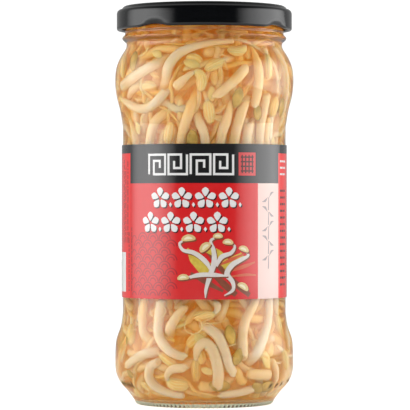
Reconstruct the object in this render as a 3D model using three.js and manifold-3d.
// Jar of preserved bean sprouts: a waisted glass jar with a twist-off lid, a wrapped
// paper label, brine, and bean sprouts lying against the glass.
// Millimetres, +Z up, origin at the centre of the foot, front of the label towards -Y.
import * as THREE from "three";
import { mergeVertices } from "three/addons/utils/BufferGeometryUtils.js";
import Module from "manifold-3d";

const wasm = await Module();
wasm.setup();

// ---------------------------------------------------------------- driving dimensions
const ROUND = 32; // facets round every turned piece
const CLEARANCE = 0.3; // gap kept between pieces that touch
const QUARTER = Math.PI / 2;
const LEADS = 4; // thread segments, and lugs on the lid

const WALL = 2.25; // glass thickness at the waist
const WAIST_RADIUS = 30.75;
const BULGE_RADIUS = 33.7; // both bulges, and the widest place of the jar
const FOOT_OUTER = 25.2; // bearing ring that the jar stands on
const FOOT_INNER = 23.2;
const PUNT_HEIGHT = 1.8; // hollow under the base
const FLOOR_HEIGHT = 4.8; // inner floor at the centre
const WAIST_BOTTOM = 34.5;
const WAIST_TOP = 104.5;
const NECK_RADIUS = 29.6;
const NECK_BORE = 27.1;
const BEAD_RADIUS = 31.0; // transfer bead under the lid
const BEAD_HEIGHT = 138;
const RIM_HEIGHT = 148.3;
const BRINE_LEVEL = 143;

const THREAD_RADIUS = 31.0;
const THREAD_THICKNESS = 1.6;
const THREAD_BITE = 0.4; // how far the thread's root is sunk in the neck
const THREAD_CORNER = 0.4; // cut off the crest's two corners
const THREAD_RUN_OUT = 0.35; // share of the crest left at a segment's two ends
const THREAD_STEPS = 8;
const THREAD_UNDERSIDE = 143.2; // above the middle of a lug, lid closed
const THREAD_SLOPE = 1.5; // rise per radian, mm: the lid climbs this much as it turns
const THREAD_FROM = THREE.MathUtils.degToRad(-13); // measured from the middle of its lug
const THREAD_TO = THREE.MathUtils.degToRad(50);
const FIRST_LUG = THREE.MathUtils.degToRad(-35); // azimuth of the lug left of the front

const LID_RADIUS = 33.1;
const LID_BOTTOM = 140.9;
const LID_TOP = 150;
const SHEET = 0.3; // tinplate and lacquer
const PANEL_TOP = 149.1; // sunk middle of the lid
const CURL_INNER = 31.4;
const LUG_INNER = 30.25;
const LUG_OUTER = 32.2; // inside the curl, so that lug and curl join
const LUG_HALF_ANGLE = THREE.MathUtils.degToRad(9);
const LUG_BOTTOM = 141.2;
const LUG_TOP = 142.6;
const LUG_STEPS = 4;
const LINER_INNER = 27.7;
const LINER_OUTER = 30.2;
const LINER_THICKNESS = 0.8;

const LABEL_BOTTOM = 40.4;
const LABEL_TOP = 97.6;
const PAPER = 0.15;
const LABEL_OVERLAP = THREE.MathUtils.degToRad(14); // glued overlap, centred at the back
const LIFT_FROM = 2.2 * LABEL_OVERLAP; // before the far end: where the paper starts to step out
const LIFT_TO = 1.1 * LABEL_OVERLAP; // and where it has reached its full step
const LABEL_STEPS = 44;

const STEM_RADIUS = 1.9;
const ROOT_RADIUS = 0.7;
const ROOT_LENGTH = 7;
const NECK_OF_BEAN = 1.25; // thin bent stem just before the seed leaves
const BEAN_RADIUS = 2.35; // the pair of seed leaves
const BEAN_LENGTH = 7.5;
const END_TAPER = 0.9; // length of the rounding at a broken end
const END_SHARE = 0.72; // and the share of the stem's radius left there
const STEM_SIDES = 5;
const RING_SPACING = 12; // mm between the rings of a straight stem
const RING_TURN = THREE.MathUtils.degToRad(38); // bend between two rings, at most
const CURVE_SAMPLES = 60; // places where a centreline's bend is measured
// Pair of seed leaves: [share of its length, share of its radius] for each ring after the first.
const BEAN_OUTLINE = [[0.2, 0.85], [0.5, 1], [0.82, 0.8], [1, 0.35]];

// Sprouts against the glass. Each centreline runs from the root or cut end to the other end:
// [degrees round the jar from the front, height, depth behind the glass].
// ends: "stem" is a broken stem, "bean" carries its pair of seed leaves, "root" tapers first.
const SPROUTS = [
  // upper window, left of the front
  {
    ends: "stem",
    at: [
      [-76, 119.4, 2.2], [-58, 122.4, 2.1], [-44, 125.2, 2.3], [-35, 127.4, 4.2], [-27, 129.2, 7.4],
    ],
  },
  {
    ends: "stem",
    at: [
      [25, 135.6, 2.6], [8, 134.8, 2.3], [-8, 132.8, 2.3], [-19, 130.2, 2.3], [-26, 126, 2.6],
      [-31, 120.8, 6.2], [-40, 116, 8.2],
    ],
  },
  {
    ends: "root",
    at: [
      [-82, 116, 2.5], [-68, 113.4, 2.4], [-56, 111.4, 2.3], [-44, 111.8, 2.3], [-34, 114.8, 2.4],
      [-28, 118, 3.6],
    ],
  },
  {
    ends: "stem",
    at: [
      [-27, 113.5, 8], [-33, 110.4, 6.2], [-41, 106, 2.6], [-46, 100, 2.3], [-48, 92, 2.3],
    ],
  },
  {
    ends: "root",
    at: [
      [-5, 119.5, 8.4], [-8, 114.5, 5], [-12, 109, 2.4], [-17, 101.5, 2.3], [-19, 92, 2.3],
    ],
  },
  {
    ends: "stem",
    at: [
      [-13, 114.5, 9.4], [-9.5, 111.5, 8.4], [-4, 106, 3.4], [0, 100.6, 2.3], [1, 91, 2.3],
    ],
  },
  {
    ends: "bean",
    at: [
      [-22, 118.6, 4.6], [-14, 121.4, 2.5], [-7, 123.6, 2.3], [-2.6, 122.6, 2.6], [-2.2, 117, 2.9],
    ],
  },
  { ends: "root", at: [[-72, 107.6, 2.3], [-65, 101, 2.3], [-61, 91, 2.3]] },
  // upper window, front and right
  { ends: "bean", at: [[1, 117.4, 6], [2, 114.6, 3.4], [3.4, 110.5, 2.9], [5, 105.2, 2.9]] },
  { ends: "stem", at: [[31, 125.6, 2.6], [24, 122.2, 2.3], [15, 118.2, 2.3], [7.5, 115, 2.5]] },
  {
    ends: "bean",
    at: [
      [33, 127, 9], [23, 128, 8], [14, 127.6, 3.4], [7, 126.2, 2.6], [0.5, 124.6, 2.8],
    ],
  },
  { ends: "bean", at: [[36, 133.2, 4.2], [31, 131.8, 2.6], [26, 131, 2.6], [18, 131.4, 2.8]] },
  { ends: "root", at: [[41, 132, 2.6], [41, 125, 2.3], [40.5, 118, 2.3], [39.5, 111, 2.3]] },
  { ends: "bean", at: [[54, 133, 2.4], [52, 129, 2.3], [50.5, 121.5, 2.8]] },
  { ends: "stem", at: [[50, 116.8, 2.4], [49.5, 110, 2.3], [48, 102, 2.3], [47, 92, 2.3]] },
  { ends: "stem", at: [[68, 133, 2.5], [72, 126, 2.3], [75, 118, 2.3], [79, 110, 2.3]] },
  {
    ends: "stem",
    at: [
      [35.4, 116, 6], [30, 111.4, 2.6], [26, 104, 2.3], [22.5, 96, 2.3], [21, 89, 2.3],
    ],
  },
  { ends: "root", at: [[20, 113.6, 2.8], [17.5, 107, 2.4], [13.5, 101, 2.3], [11, 91, 2.3]] },
  { ends: "stem", at: [[38, 106, 2.5], [35, 100, 2.3], [32.5, 91, 2.3]] },
  { ends: "bean", at: [[57, 99, 2.4], [60, 107, 2.3], [62, 116, 2.9]] },
  // lower window, left of the front
  {
    ends: "root",
    at: [
      [-50, 44, 2.3], [-53, 38, 2.3], [-54, 32, 2.3], [-50, 26.6, 2.7], [-45, 23.8, 6.4],
    ],
  },
  {
    ends: "stem",
    at: [
      [-35, 40, 2.3], [-37, 32.5, 2.3], [-35, 26.4, 2.3], [-27, 22, 2.3], [-19, 19.8, 2.3],
      [-12.5, 19.2, 2.5],
    ],
  },
  { ends: "root", at: [[-14, 38, 2.6], [-21, 34, 2.3], [-26.5, 29.4, 2.6], [-29, 25.4, 7.2]] },
  { ends: "stem", at: [[-68, 15, 2.5], [-56, 17.6, 2.3], [-46, 19.8, 2.6], [-37, 20.8, 6.6]] },
  {
    ends: "stem",
    at: [
      [-33, 17.4, 2.5], [-40, 15.4, 2.3], [-43, 11.6, 2.3], [-37, 8.2, 2.6], [-26, 6.6, 3],
      [-17, 6.2, 3.4],
    ],
  },
  {
    ends: "bean",
    at: [
      [-12, 15, 2.3], [-17, 15.2, 2.4], [-24, 14.4, 2.4], [-27.5, 12.2, 2.5], [-24, 10, 2.9],
      [-12, 9.6, 3.4],
    ],
  },
  { ends: "bean", at: [[-69, 33, 2.4], [-67, 28, 2.3], [-62, 22.4, 2.9]] },
  // lower window, front and right
  { ends: "stem", at: [[47, 44, 2.3], [41, 38, 2.3], [33, 32, 2.3], [28.5, 26, 2.3], [28, 18.4, 2.4]] },
  {
    ends: "stem",
    at: [
      [58, 43, 2.3], [59, 36, 2.4], [56, 30.4, 2.7], [47, 25.4, 2.4], [39, 20.4, 2.3], [35, 16.4, 7],
    ],
  },
  {
    ends: "stem",
    at: [
      [-3, 31, 7.6], [3, 29.4, 3.4], [10, 26.2, 2.3], [14.5, 21, 2.3], [18, 15.6, 2.3],
      [22.5, 12.6, 2.6],
    ],
  },
  { ends: "stem", at: [[31, 13, 2.4], [40, 12.8, 2.3], [53, 12.4, 2.4]] },
  { ends: "root", at: [[42, 8.6, 2.6], [31, 7.2, 2.8], [21, 6.6, 2.9], [12, 6.4, 3.4]] },
  {
    ends: "bean",
    at: [
      [9.5, 8.6, 2.4], [10, 13, 2.3], [8.2, 18, 2.3], [5.4, 22, 2.3], [1, 24, 2.3], [-3.4, 23, 2.4],
      [-5.6, 20.2, 3.2], [-6.6, 11, 6.6],
    ],
  },
  { ends: "bean", at: [[9, 39.6, 2.3], [10.5, 37, 2.3], [7, 35, 2.3], [1, 34.4, 2.6], [-8, 33.4, 2.9]] },
  { ends: "bean", at: [[69, 41, 2.5], [70, 34, 2.6], [71, 26, 3]] },
  // back of the jar, upper band
  { ends: "stem", at: [[96, 131, 2.5], [104, 127, 2.3], [115, 122, 2.3], [127, 119, 2.3]] },
  {
    ends: "stem",
    at: [
      [150, 133, 2.4], [143, 126, 2.3], [141, 117, 2.3], [145, 107, 2.3], [148, 99, 2.3],
    ],
  },
  { ends: "root", at: [[190, 104, 2.3], [180, 110, 2.3], [168, 113, 2.3], [158, 118, 2.3]] },
  { ends: "bean", at: [[212, 100, 2.3], [208, 109, 2.3], [200, 117, 2.3], [190, 121, 2.8]] },
  {
    ends: "stem",
    at: [
      [245, 131, 2.5], [232, 128, 2.3], [222, 122, 2.3], [220, 112, 2.3], [224, 101, 2.3],
    ],
  },
  // back of the jar, lower band
  { ends: "stem", at: [[92, 15, 2.4], [104, 18, 2.3], [115, 24, 2.3], [122, 32, 2.3]] },
  { ends: "bean", at: [[150, 41, 2.3], [146, 33, 2.3], [148, 25, 2.3], [157, 20, 2.8]] },
  {
    ends: "stem",
    at: [
      [140, 13, 2.4], [154, 11.6, 2.4], [170, 13, 2.3], [181, 18, 2.3], [186, 27, 2.3],
    ],
  },
  { ends: "bean", at: [[262, 34, 2.8], [252, 29.4, 2.8], [243, 24, 2.5], [240, 15, 3]] },
];

// Loose seed coats: [degrees round the jar, height, turn in degrees, depth behind the glass].
const SEED_COATS = [
  [-58, 128, 20, 1.25],
  [24, 114.8, -10, 1.4],
  [-9, 99, 0, 1.3],
  [70.3, 112, 8, 1.4],
  [19, 27, 5, 1.7],
  [54, 8.8, 80, 1.9],
  [170, 121.8, 40, 1.25],
  [232, 17, -30, 1.4],
];
const COAT_SIZE = [2.1, 3.9, 0.8]; // half width, half length, half thickness
const COAT_SIDES = 7;
const COAT_ROWS = 6;
const POCKET_GAP = CLEARANCE + 0.05; // brine stays this far off the sprouts and coats

// ---------------------------------------------------------------- materials
const finish = (color, roughness, metalness = 0, opacity = 1) =>
  new THREE.MeshStandardMaterial({ color, roughness, metalness, opacity, transparent: opacity < 1 });

const FINISH = {
  glass: finish(0xdfe8e0, 0.05, 0, 0.3),
  lacquer: finish(0x0b0d10, 0.18),
  compound: finish(0xe6e2d6, 0.6),
  paper: finish(0xd01c24, 0.4),
  brine: finish(0xd9a766, 0.05, 0, 0.35),
  sprout: finish(0xe9dcc0, 0.45),
  coat: finish(0x8f8034, 0.5),
};

// ---------------------------------------------------------------- helpers
const v2 = (r, z) => new THREE.Vector2(r, z);

function smooth(stations, rows) {
  return new THREE.SplineCurve(stations.map(([r, z]) => v2(r, z))).getPoints(rows);
}

// Turns a profile of (radius, height) about the Z axis.
function turned(profile) {
  const geometry = new THREE.LatheGeometry(profile, ROUND);
  geometry.rotateX(QUARTER);
  return geometry;
}

function solid(geometry) {
  const bare = geometry.clone();
  bare.deleteAttribute("normal");
  bare.deleteAttribute("uv");
  const merged = mergeVertices(bare, 1e-4);
  const made = new wasm.Manifold(
    new wasm.Mesh({
      numProp: 3,
      vertProperties: merged.attributes.position.array,
      triVerts: new Uint32Array(merged.index.array),
    }),
  );
  return made;
}

function geometryOf(made) {
  const { vertProperties, triVerts } = made.getMesh();
  const geometry = new THREE.BufferGeometry();
  geometry.setAttribute("position", new THREE.BufferAttribute(vertProperties, 3));
  geometry.setIndex(new THREE.BufferAttribute(triVerts, 1));
  geometry.computeVertexNormals();
  return geometry;
}

// A point from its angle round the jar (0 at the front, growing to the right), radius and height.
function round(angle, radius, height) {
  return new THREE.Vector3(radius * Math.sin(angle), -radius * Math.cos(angle), height);
}

// Closed skin over a row of rings that all have the same number of points. Seen along the
// row, each ring runs clockwise round its middle.
function skin(rings) {
  const sides = rings[0].length;
  const last = rings.length - 1;
  const points = rings.flat();
  const total = (ring) => ring.reduce((sum, point) => sum.add(point), new THREE.Vector3());
  const middle = (ring) => total(ring).divideScalar(sides);
  points.push(middle(rings[0]), middle(rings[last]));
  const [startCap, endCap] = [points.length - 2, points.length - 1];
  const index = [];
  for (let side = 0; side < sides; side++) {
    const next = (side + 1) % sides;
    for (let ring = 0; ring < last; ring++) {
      const [a, b] = [ring * sides + side, ring * sides + next];
      index.push(a, b, b + sides, a, b + sides, a + sides);
    }
    index.push(startCap, next, side);
    index.push(endCap, last * sides + side, last * sides + next);
  }
  const geometry = new THREE.BufferGeometry().setFromPoints(points);
  geometry.setIndex(index);
  geometry.computeVertexNormals();
  return geometry;
}

// ---------------------------------------------------------------- glass
const OUTSIDE = [
  ...smooth(
    [
      [FOOT_OUTER, 0], [26.4, 1.6], [29, 5], [31.8, 8.2], [33.4, 12], [BULGE_RADIUS, 17.5],
      [33.2, 24.4], [31.5, 29.6], [WAIST_RADIUS, WAIST_BOTTOM],
    ],
    8,
  ),
  ...smooth(
    [
      [WAIST_RADIUS, WAIST_TOP], [31.8, 110.8], [33.2, 116.5], [BULGE_RADIUS, 121.8],
      [33.2, 127], [31.5, 131.1], [29.5, 134.4], [29.4, 136],
    ],
    7,
  ),
];
const INSIDE = [
  v2(0, FLOOR_HEIGHT),
  v2(14, 4.2),
  ...smooth(
    [
      [21, 3.3], [24.4, 4], [27.4, 6.8], [29.9, 10.2], [31.2, 14], [31.4, 19],
      [30.7, 25], [29.1, 30], [WAIST_RADIUS - WALL, WAIST_BOTTOM + 0.8],
    ],
    8,
  ),
  ...smooth(
    [
      [WAIST_RADIUS - WALL, WAIST_TOP - 0.8], [29.4, 110.4], [30.9, 116.5], [31.4, 121.8],
      [30.8, 127.2], [29, 131.2], [27.3, 135], [NECK_BORE, 138],
    ],
    7,
  ),
];
const RIM = [
  v2(NECK_BORE, RIM_HEIGHT - 1),
  v2(27.6, RIM_HEIGHT - 0.2),
  v2(28.4, RIM_HEIGHT),
  v2(29.1, RIM_HEIGHT - 0.2),
  v2(NECK_RADIUS, RIM_HEIGHT - 0.9),
];
const BEAD = [
  v2(NECK_RADIUS, BEAD_HEIGHT + 1.6),
  v2(BEAD_RADIUS, BEAD_HEIGHT + 0.6),
  v2(BEAD_RADIUS, BEAD_HEIGHT - 0.5),
  v2(NECK_RADIUS, BEAD_HEIGHT - 1.4),
];

// One of the four raised segments that the lid's lugs run under.
function threadSegment(lugAngle) {
  const root = NECK_RADIUS - THREAD_BITE;
  const rings = [];
  for (let step = 0; step <= THREAD_STEPS; step++) {
    const turn = THREE.MathUtils.lerp(THREAD_FROM, THREAD_TO, step / THREAD_STEPS);
    const low = THREAD_UNDERSIDE + THREAD_SLOPE * turn;
    const high = low + THREAD_THICKNESS;
    const atEnd = step === 0 || step === THREAD_STEPS;
    const fade = atEnd ? THREAD_RUN_OUT : 1; // the ends run out into the neck
    const crest = root + (THREAD_RADIUS - root) * fade;
    const edge = crest - THREAD_CORNER * fade;
    const section = [
      [root, high], [edge, high], [crest, high - THREAD_CORNER],
      [crest, low + THREAD_CORNER], [edge, low], [root, low],
    ];
    rings.push(section.map(([radius, height]) => round(lugAngle + turn, radius, height)));
  }
  return skin(rings);
}

function glassJar() {
  const profile = [
    v2(0, PUNT_HEIGHT),
    v2(FOOT_INNER - 4, PUNT_HEIGHT - 0.5),
    v2(FOOT_INNER, 0),
    ...OUTSIDE,
    ...[...BEAD].reverse(),
    ...[...RIM].reverse(),
    ...[...INSIDE].reverse(),
  ];
  let jar = solid(turned(profile));
  for (let lead = 0; lead < LEADS; lead++) {
    jar = jar.add(solid(threadSegment(FIRST_LUG + lead * QUARTER)));
  }
  return geometryOf(jar);
}

// Inner radius of the glass at a height, from the inside profile.
function boreAt(height) {
  const walls = INSIDE.slice(2);
  for (let i = 1; i < walls.length; i++) {
    const [low, high] = [walls[i - 1], walls[i]];
    if (height <= high.y) return THREE.MathUtils.mapLinear(height, low.y, high.y, low.x, high.x);
  }
  return NECK_BORE;
}

// ---------------------------------------------------------------- lid
const LID_OUTSIDE = [
  v2(0, PANEL_TOP),
  v2(26.2, PANEL_TOP),
  v2(27.5, LID_TOP),
  v2(30.5, LID_TOP),
  v2(31.2, 148.9),
  v2(32.5, 148.5),
  v2(LID_RADIUS, 147.2),
  v2(LID_RADIUS, LID_BOTTOM + 0.6),
];
const LID_CURL = [
  v2(32.7, LID_BOTTOM),
  v2(31.8, LID_BOTTOM),
  v2(CURL_INNER, LID_BOTTOM + 0.6),
  v2(CURL_INNER, LID_BOTTOM + 1.2),
  v2(32, LID_BOTTOM + 1.7),
];
const LID_INSIDE = [
  v2(LID_RADIUS - SHEET, LID_BOTTOM + 2),
  v2(LID_RADIUS - SHEET, 147.1),
  v2(32.25, 148.25),
  v2(31, 148.6),
  v2(30.3, LID_TOP - SHEET),
  v2(27.7, LID_TOP - SHEET),
  v2(26.4, PANEL_TOP - SHEET),
  v2(0, PANEL_TOP - SHEET),
];

// Part of a ring, r and z ranges, centred on an angle: where the curl is pressed in to a lug.
function ringSector(angle, halfAngle, inner, outer, bottom, top) {
  const rings = [];
  for (let step = 0; step <= LUG_STEPS; step++) {
    const at = angle + THREE.MathUtils.lerp(-halfAngle, halfAngle, step / LUG_STEPS);
    rings.push([
      round(at, inner, top),
      round(at, outer, top),
      round(at, outer, bottom),
      round(at, inner, bottom),
    ]);
  }
  return skin(rings);
}

function lidShell() {
  const profile = [...LID_OUTSIDE, ...LID_CURL, ...LID_INSIDE].reverse();
  let lid = solid(turned(profile));
  for (let lead = 0; lead < LEADS; lead++) {
    const at = FIRST_LUG + lead * QUARTER;
    lid = lid.add(solid(ringSector(at, LUG_HALF_ANGLE, LUG_INNER, LUG_OUTER, LUG_BOTTOM, LUG_TOP)));
  }
  return geometryOf(lid);
}

function lidLiner() {
  const bottom = RIM_HEIGHT + CLEARANCE;
  const top = bottom + LINER_THICKNESS;
  const corners = [[LINER_INNER, bottom], [LINER_OUTER, bottom], [LINER_OUTER, top], [LINER_INNER, top]];
  return turned([...corners, corners[0]].map(([r, z]) => v2(r, z)));
}

// ---------------------------------------------------------------- label
// One sheet whose far end laps over its near end: the radius steps out over the lap.
function label() {
  const span = 2 * Math.PI + LABEL_OVERLAP;
  const inner = WAIST_RADIUS + CLEARANCE;
  const lap = PAPER + CLEARANCE;
  const startAngle = Math.PI - LABEL_OVERLAP / 2;
  const near = [];
  const far = [];
  for (let step = 0; step <= LABEL_STEPS; step++) {
    const turn = (span * step) / LABEL_STEPS;
    const lifted = THREE.MathUtils.smoothstep(turn, span - LIFT_FROM, span - LIFT_TO);
    const radius = inner + lap * lifted;
    const at = startAngle + turn;
    near.push(v2(radius * Math.sin(at), -radius * Math.cos(at)));
    far.push(v2((radius + PAPER) * Math.sin(at), -(radius + PAPER) * Math.cos(at)));
  }
  const sheet = new THREE.Shape([...far, ...near.reverse()]);
  const height = LABEL_TOP - LABEL_BOTTOM;
  const geometry = new THREE.ExtrudeGeometry(sheet, { depth: height, bevelEnabled: false });
  geometry.translate(0, 0, LABEL_BOTTOM);
  return geometry;
}

// ---------------------------------------------------------------- sprouts
function centreline({ at }) {
  const points = at.map(([degrees, height, depth]) =>
    round(THREE.MathUtils.degToRad(degrees), boreAt(height) - depth, height),
  );
  return new THREE.CatmullRomCurve3(points, false, "centripetal");
}

// Distances from start to end of a stem's body for its rings: close together in a bend.
function ringDistances(curve, start, end) {
  const length = curve.getLength();
  const step = (end - start) / CURVE_SAMPLES;
  const effort = [0];
  let tangent = curve.getTangentAt(start / length);
  for (let i = 1; i <= CURVE_SAMPLES; i++) {
    const next = curve.getTangentAt((start + i * step) / length);
    effort.push(effort[i - 1] + step / RING_SPACING + next.angleTo(tangent) / RING_TURN);
    tangent = next;
  }
  const spans = Math.max(1, Math.round(effort[CURVE_SAMPLES]));
  const distances = [];
  for (let span = 0; span < spans; span++) {
    const wanted = (effort[CURVE_SAMPLES] * span) / spans;
    const i = effort.findLastIndex((sum) => sum <= wanted);
    distances.push(start + step * (i + (wanted - effort[i]) / (effort[i + 1] - effort[i])));
  }
  return distances;
}

// Distances along a sprout where its skin has a ring, and the radius there.
function girths(curve, ends) {
  const length = curve.getLength();
  const rows = [];
  const bodyStart = ends === "root" ? ROOT_LENGTH : END_TAPER;
  const bodyEnd = ends === "bean" ? length - BEAN_LENGTH : length - END_TAPER;
  rows.push([0, ends === "root" ? ROOT_RADIUS : STEM_RADIUS * END_SHARE]);
  for (const distance of ringDistances(curve, bodyStart, bodyEnd)) rows.push([distance, STEM_RADIUS]);
  if (ends !== "bean") {
    rows.push([bodyEnd, STEM_RADIUS], [length, STEM_RADIUS * END_SHARE]);
    return rows;
  }
  rows.push([bodyEnd, NECK_OF_BEAN]);
  for (const [along, wide] of BEAN_OUTLINE) rows.push([bodyEnd + along * BEAN_LENGTH, wide * BEAN_RADIUS]);
  return rows;
}

function sproutGeometry(sprout, extra = 0) {
  const curve = centreline(sprout);
  const length = curve.getLength();
  const rows = girths(curve, sprout.ends);
  // Sideways directions are carried along the stem, so the skin doesn't twist.
  let tangent = curve.getTangentAt(0);
  let side = new THREE.Vector3(0, 0, 1).cross(tangent);
  if (side.length() < 0.3) side = new THREE.Vector3(1, 0, 0).cross(tangent);
  side.normalize();
  const rings = rows.map(([distance, radius], row) => {
    const share = THREE.MathUtils.clamp(distance / length, 0, 1);
    const centre = curve.getPointAt(share);
    tangent = curve.getTangentAt(share);
    side = side.addScaledVector(tangent, -side.dot(tangent)).normalize();
    const up = tangent.clone().cross(side);
    if (extra && row === 0) centre.addScaledVector(tangent, -extra);
    if (extra && row === rows.length - 1) centre.addScaledVector(tangent, extra);
    const ring = [];
    for (let i = 0; i < STEM_SIDES; i++) {
      const turn = (2 * Math.PI * i) / STEM_SIDES;
      const out = side.clone().multiplyScalar(Math.cos(turn)).addScaledVector(up, Math.sin(turn));
      ring.push(centre.clone().addScaledVector(out, radius + extra));
    }
    return ring;
  });
  return skin(rings);
}

function coatGeometry([degrees, height, turn, depth], extra = 0) {
  const geometry = new THREE.SphereGeometry(1, COAT_SIDES, COAT_ROWS);
  geometry.scale(COAT_SIZE[0] + extra, COAT_SIZE[1] + extra, COAT_SIZE[2] + extra);
  geometry.rotateZ(THREE.MathUtils.degToRad(turn)); // turned in its own plane
  const lean = Math.atan2(boreAt(height + 2) - boreAt(height - 2), 4);
  geometry.rotateX(QUARTER + lean); // stands up along the glass, thin towards it
  geometry.rotateZ(THREE.MathUtils.degToRad(degrees));
  const place = round(THREE.MathUtils.degToRad(degrees), boreAt(height) - depth, height);
  geometry.translate(place.x, place.y, place.z);
  return geometry;
}

// ---------------------------------------------------------------- brine
function brine() {
  const gap = CLEARANCE;
  const walls = INSIDE.map((p, i) => {
    const before = INSIDE[Math.max(0, i - 1)];
    const after = INSIDE[Math.min(INSIDE.length - 1, i + 1)];
    const along = after.clone().sub(before).normalize();
    return v2(Math.max(0, p.x - gap * along.y), p.y + gap * Math.max(along.x, 0));
  });
  walls[0].x = 0;
  const profile = [...walls, v2(NECK_BORE - gap, BRINE_LEVEL), v2(0, BRINE_LEVEL)];
  let liquid = solid(turned(profile));
  const pockets = [
    ...SPROUTS.map((sprout) => solid(sproutGeometry(sprout, POCKET_GAP))),
    ...SEED_COATS.map((coat) => solid(coatGeometry(coat, POCKET_GAP))),
  ];
  for (const pocket of pockets) liquid = liquid.subtract(pocket);
  // Drops cut off between two crowded sprouts are left out.
  const parts = liquid.decompose().sort((a, b) => b.volume() - a.volume());
  return geometryOf(parts[0]);
}

// ---------------------------------------------------------------- the jar
const jarOfSprouts = new THREE.Group();

function add(name, geometry, material) {
  const mesh = new THREE.Mesh(geometry, material);
  mesh.name = name;
  jarOfSprouts.add(mesh);
}

const numbered = (name, number) => `${name}_${String(number + 1).padStart(2, "0")}`;

add("glass_jar", glassJar(), FINISH.glass);
add("lid_shell", lidShell(), FINISH.lacquer);
add("lid_liner", lidLiner(), FINISH.compound);
add("label", label(), FINISH.paper);
add("brine", brine(), FINISH.brine);
SPROUTS.forEach((sprout, i) => add(numbered("sprout", i), sproutGeometry(sprout), FINISH.sprout));
SEED_COATS.forEach((coat, i) => add(numbered("seed_coat", i), coatGeometry(coat), FINISH.coat));

export default jarOfSprouts;
